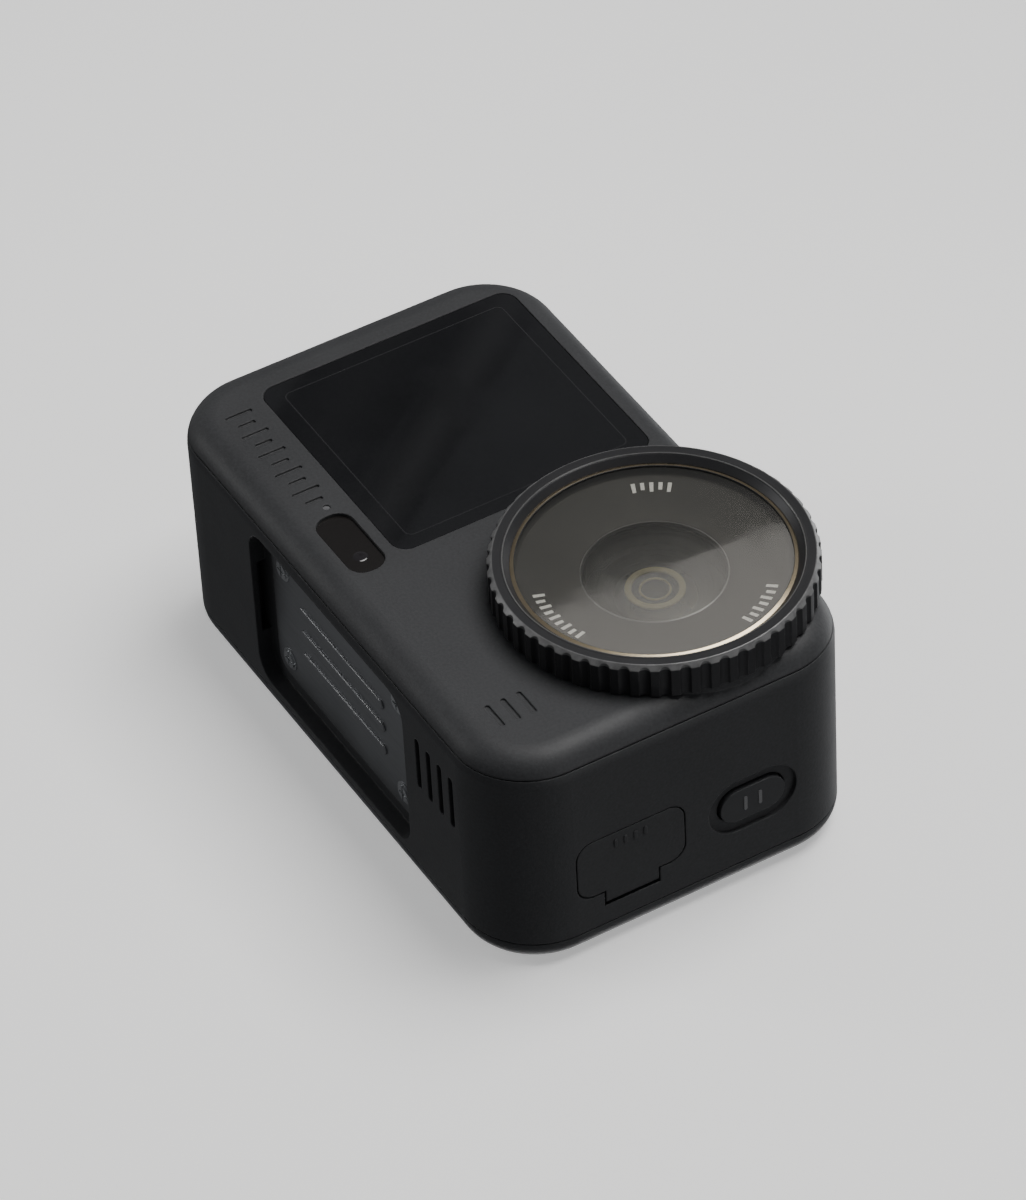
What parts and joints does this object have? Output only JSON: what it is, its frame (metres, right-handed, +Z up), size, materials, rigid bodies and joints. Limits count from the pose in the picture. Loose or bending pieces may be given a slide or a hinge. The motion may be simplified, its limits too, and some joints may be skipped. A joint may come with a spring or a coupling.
{
  "type": "action camera",
  "caption": "Rugged pocket action camera with a fluted removable lens cover, front and rear screens, side doors, buttons and a recessed quick-release base.",
  "frame": {"origin": "centre of the bounding box's bottom, on the plane the camera stands on", "axes": "+Z up, the lens looks along -Y, and +X is to the right as seen from in front, on the lens side"},
  "size_m": [0.0728, 0.0332, 0.0472],
  "materials": {
    "shell_plastic": "fine matte grain",
    "door_plastic": "fine matte grain",
    "latch_plastic": "matte with fine ribs",
    "button_plastic": "satin",
    "accent_plastic": "satin red",
    "front_glass": "black glass",
    "rear_glass": "black glass",
    "sensor_glass": "smoked glass",
    "display": "dark panel",
    "light_pipe": "translucent",
    "lens_black": "black anodised, fine grain",
    "ring_black": "black anodised satin",
    "plate_grey": "satin warm grey",
    "pale_gold": "polished edge",
    "lens_glass": "coated glass",
    "cover_glass": "clear coated glass",
    "filter_glass": "tinted filter",
    "blade_black": "blackened",
    "black_rubber": "soft",
    "orange_rubber": "soft",
    "chip": "package",
    "circuit_board": "solder mask",
    "steel": "plain",
    "plate_steel": "brushed, dark",
    "magnet": "plated",
    "copper": "rolled sheet",
    "contact_gold": "plated",
    "bay_plastic": "plain",
    "battery_wrap": "matte black can",
    "card_plastic": "plain"
  },
  "bodies": {
    "camera": {"front_cover": "shell_plastic", "mid_frame": "shell_plastic", "rear_cover": "shell_plastic", "board_screws": "steel", "front_screen_glass": "front_glass", "front_display_panel": "display", "sensor_window": "sensor_glass", "light_sensor": "chip", "status_light": "light_pipe", "rear_screen_glass": "rear_glass", "rear_display_panel": "display", "lens_mount": "lens_black", "lens_barrel": "lens_black", "front_lens": "lens_glass", "front_lens_ring": "lens_black", "second_lens": "lens_glass", "rear_lens_group": "lens_glass", "infrared_filter": "filter_glass", "image_sensor": "chip", "sensor_board": "circuit_board", "iris_housing": "lens_black", "iris_motor": "steel", "main_board": "circuit_board", "processor_shield": "steel", "heat_spreader": "copper", "battery_bay": "bay_plastic", "battery": "battery_wrap", "battery_contacts": "contact_gold", "memory_card": "card_plastic", "memory_card_slot": "steel", "battery_door_pin": "steel", "connector_socket": "steel", "connector_board": "circuit_board", "connector_door_pin": "steel", "switch_contact": "steel", "shutter_bezel": "accent_plastic", "shutter_contact": "steel", "speaker": "bay_plastic", "microphone": "steel", "mount_plate": "plate_steel", "mount_magnets": "magnet"},
    "lens_cover_gasket": {"lens_cover_seal": "black_rubber"},
    "lens_cover": {"lens_cover_ring": "ring_black", "lens_cover_glass": "cover_glass", "lens_cover_plate": "plate_grey", "lens_cover_retainer": "lens_black"},
    "shutter_key": {"shutter_button": "button_plastic"},
    "switch_key": {"switch_button": "button_plastic"},
    "battery_hatch": {"battery_door": "door_plastic", "battery_door_seal": "orange_rubber"},
    "battery_latch": {"battery_door_latch": "latch_plastic"},
    "connector_hatch": {"connector_door": "door_plastic", "connector_door_seal": "orange_rubber"},
    "iris_actuator": {"iris_ring": "pale_gold"},
    "blade_1": {"iris_blade_1": "blade_black"},
    "blade_2": {"iris_blade_2": "blade_black"},
    "blade_3": {"iris_blade_3": "blade_black"},
    "blade_4": {"iris_blade_4": "blade_black"},
    "blade_5": {"iris_blade_5": "blade_black"},
    "blade_6": {"iris_blade_6": "blade_black"}
  },
  "joints": [
    {"name": "lens_cover_lift", "type": "slide", "parent": "camera", "child": "lens_cover_gasket", "axis": [0, -1, 0], "range_m": [0, 0.0042]},
    {"name": "lens_cover_turn", "type": "hinge", "parent": "lens_cover_gasket", "child": "lens_cover", "pos_m": [0.0187, -0.01235, 0.0297], "axis": [0, -1, 0], "range_deg": [0, 90]},
    {"name": "shutter_press", "type": "slide", "parent": "camera", "child": "shutter_key", "axis": [0, 0, -1], "range_m": [0, 0.0008], "stiffness_N_per_m": 1500, "springref_m": -0.0003},
    {"name": "switch_press", "type": "slide", "parent": "camera", "child": "switch_key", "axis": [-1, 0, 0], "range_m": [0, 0.0006], "stiffness_N_per_m": 1500, "springref_m": -0.0003},
    {"name": "battery_door_swing", "type": "hinge", "parent": "camera", "child": "battery_hatch", "pos_m": [-0.0357, 0.01035, 0.0223], "axis": [0, 0, -1], "range_deg": [0, 90]},
    {"name": "battery_latch_slide", "type": "slide", "parent": "battery_hatch", "child": "battery_latch", "axis": [0, 0, 1], "range_m": [0, 0.0025]},
    {"name": "connector_door_swing", "type": "hinge", "parent": "camera", "child": "connector_hatch", "pos_m": [0.0357, 0.01015, 0.0154], "axis": [0, 0, 1], "range_deg": [0, 90]},
    {"name": "iris_turn", "type": "hinge", "parent": "camera", "child": "iris_actuator", "pos_m": [0.0187, -0.01235, 0.0297], "axis": [0, -1, 0], "range_deg": [0, 3.2]},
    {"name": "blade_1_turn", "type": "hinge", "parent": "camera", "child": "blade_1", "pos_m": [0.0233, -0.00845, 0.0297], "axis": [0, -1, 0], "range_deg": [0, 16.2]},
    {"name": "blade_2_turn", "type": "hinge", "parent": "camera", "child": "blade_2", "pos_m": [0.021, -0.00845, 0.02572], "axis": [0, -1, 0], "range_deg": [0, 16.2]},
    {"name": "blade_3_turn", "type": "hinge", "parent": "camera", "child": "blade_3", "pos_m": [0.0164, -0.00845, 0.02572], "axis": [0, -1, 0], "range_deg": [0, 16.2]},
    {"name": "blade_4_turn", "type": "hinge", "parent": "camera", "child": "blade_4", "pos_m": [0.0141, -0.00845, 0.0297], "axis": [0, -1, 0], "range_deg": [0, 16.2]},
    {"name": "blade_5_turn", "type": "hinge", "parent": "camera", "child": "blade_5", "pos_m": [0.0164, -0.00845, 0.03368], "axis": [0, -1, 0], "range_deg": [0, 16.2]},
    {"name": "blade_6_turn", "type": "hinge", "parent": "camera", "child": "blade_6", "pos_m": [0.021, -0.00845, 0.03368], "axis": [0, -1, 0], "range_deg": [0, 16.2]}
  ],
  "couplings": [
    {"joint": "lens_cover_turn", "follows": "lens_cover_lift", "rad_per_m": 373.99},
    {"joint": "blade_1_turn", "follows": "iris_turn", "ratio": 5.02},
    {"joint": "blade_2_turn", "follows": "iris_turn", "ratio": 5.02},
    {"joint": "blade_3_turn", "follows": "iris_turn", "ratio": 5.02},
    {"joint": "blade_4_turn", "follows": "iris_turn", "ratio": 5.02},
    {"joint": "blade_5_turn", "follows": "iris_turn", "ratio": 5.02},
    {"joint": "blade_6_turn", "follows": "iris_turn", "ratio": 5.02}
  ]
}
